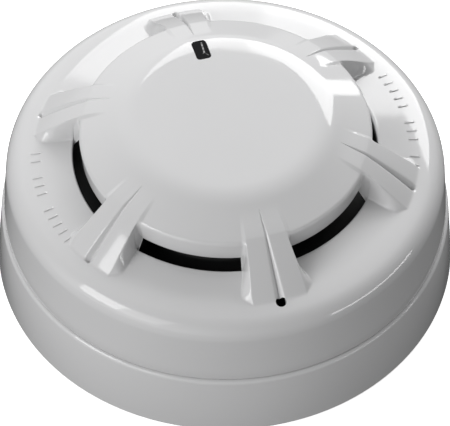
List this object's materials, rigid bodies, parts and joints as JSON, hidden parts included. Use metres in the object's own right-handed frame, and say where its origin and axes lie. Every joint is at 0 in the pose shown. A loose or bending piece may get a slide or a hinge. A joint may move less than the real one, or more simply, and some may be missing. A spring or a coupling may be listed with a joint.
{
  "type": "heat detector",
  "caption": "Round white ceiling heat detector: a domed, vented head with an indicator window that twist-locks on a mounting base.",
  "frame": {"origin": "centre of the base's flat mounting face", "axes": "+Z out of the dome, away from the ceiling; the indicator window is at azimuth 105 degrees from +X"},
  "size_m": [0.1, 0.1, 0.0441],
  "materials": {
    "cover_white": "glossy moulded",
    "base_white": "glossy moulded",
    "back_white": "plain moulded",
    "chamber_black": "matt",
    "lens_dark": "polished smoked",
    "foam_grey": "closed-cell foam",
    "board_green": "solder resist",
    "chip_black": "moulded epoxy",
    "capacitor_sleeve": "shrunk sleeve",
    "epoxy_brown": "dipped epoxy",
    "lamp_clear": "clear",
    "tin": "tinned wire",
    "nickel": "nickel plated",
    "brass": "bright rolled"
  },
  "bodies": {
    "base": {"base_housing": "base_white", "terminal_plate_1": "brass", "wire_clamp_1": "nickel", "terminal_screw_1": "nickel", "terminal_plate_2": "brass", "wire_clamp_2": "nickel", "terminal_screw_2": "nickel", "terminal_plate_3": "brass", "wire_clamp_3": "nickel", "terminal_screw_3": "nickel", "terminal_plate_4": "brass", "wire_clamp_4": "nickel", "terminal_screw_4": "nickel"},
    "head": {"cover": "cover_white", "indicator_lens": "lens_dark", "chamber_cover": "chamber_black", "gasket": "foam_grey", "backplate": "back_white", "circuit_board": "board_green", "indicator_lamp": "lamp_clear", "microcontroller": "chip_black", "bridge_rectifier": "chip_black", "voltage_regulator": "chip_black", "smoothing_capacitor": "capacitor_sleeve", "surge_suppressor": "epoxy_brown", "reed_switch": "lamp_clear", "reed_lead_left": "tin", "reed_lead_right": "tin", "thermistor_bead": "epoxy_brown", "thermistor_lead_left": "tin", "thermistor_lead_right": "tin", "board_screw_1": "nickel", "board_screw_2": "nickel", "board_screw_3": "nickel", "contact_blade_1": "nickel", "contact_blade_2": "nickel", "contact_blade_3": "nickel", "contact_blade_4": "nickel"},
    "lock_tab": {"lock_tab": "base_white"},
    "contact_spring_1": {"contact_spring_1": "brass"},
    "contact_spring_2": {"contact_spring_2": "brass"},
    "contact_spring_3": {"contact_spring_3": "brass"},
    "contact_spring_4": {"contact_spring_4": "brass"}
  },
  "joints": [
    {"name": "head_twist", "type": "hinge", "parent": "base", "child": "head", "pos_m": [0, 0, 0.015], "axis": [0, 0, 1], "range_deg": [0, 20]},
    {"name": "lock_tab_press", "type": "hinge", "parent": "base", "child": "lock_tab", "pos_m": [-0.00505, -0.04109, 0.0096], "axis": [0.1219, 0.9925, 0], "range_deg": [0, 8], "stiffness_Nm_per_rad": 0.5},
    {"name": "contact_spring_1_flex", "type": "hinge", "parent": "base", "child": "contact_spring_1", "pos_m": [0.01704, 0.02397, 0.00755], "axis": [-0.7071, -0.7071, 0], "range_deg": [0, 6], "stiffness_Nm_per_rad": 0.2},
    {"name": "contact_spring_2_flex", "type": "hinge", "parent": "base", "child": "contact_spring_2", "pos_m": [-0.02397, 0.01704, 0.00755], "axis": [0.7071, -0.7071, 0], "range_deg": [0, 6], "stiffness_Nm_per_rad": 0.2},
    {"name": "contact_spring_3_flex", "type": "hinge", "parent": "base", "child": "contact_spring_3", "pos_m": [-0.01704, -0.02397, 0.00755], "axis": [0.7071, 0.7071, 0], "range_deg": [0, 6], "stiffness_Nm_per_rad": 0.2},
    {"name": "contact_spring_4_flex", "type": "hinge", "parent": "base", "child": "contact_spring_4", "pos_m": [0.02397, -0.01704, 0.00755], "axis": [-0.7071, 0.7071, 0], "range_deg": [0, 6], "stiffness_Nm_per_rad": 0.2}
  ]
}
